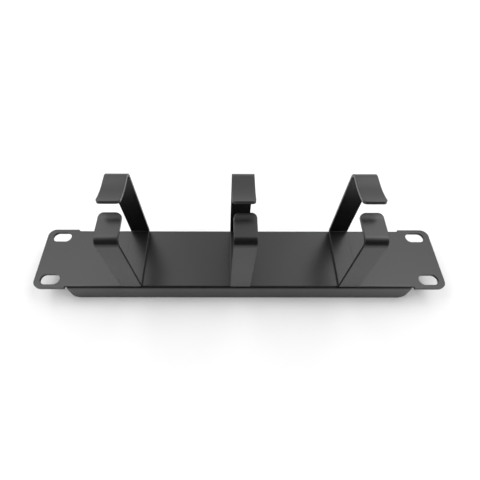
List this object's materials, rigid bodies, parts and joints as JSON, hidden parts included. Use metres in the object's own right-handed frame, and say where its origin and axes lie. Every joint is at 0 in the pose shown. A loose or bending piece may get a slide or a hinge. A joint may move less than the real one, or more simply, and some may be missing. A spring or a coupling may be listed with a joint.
{
  "type": "horizontal cable manager",
  "caption": "Black powder-coated steel rack panel with slotted ears, folded flanges and a row of open C-shaped cable rings.",
  "frame": {"origin": "middle of the panel, on the plane that the flange edges stand on", "axes": "+X along the panel, +Y across it towards the tall arms, +Z out of the panel's face, up as it lies"},
  "size_m": [0.254, 0.044, 0.0712],
  "materials": {
    "black_powder_coat": "satin black powder coat with a fine texture"
  },
  "bodies": {
    "root": {"rack_panel": "black_powder_coat", "cable_ring_left": "black_powder_coat", "cable_ring_centre": "black_powder_coat", "cable_ring_right": "black_powder_coat"}
  },
  "joints": []
}
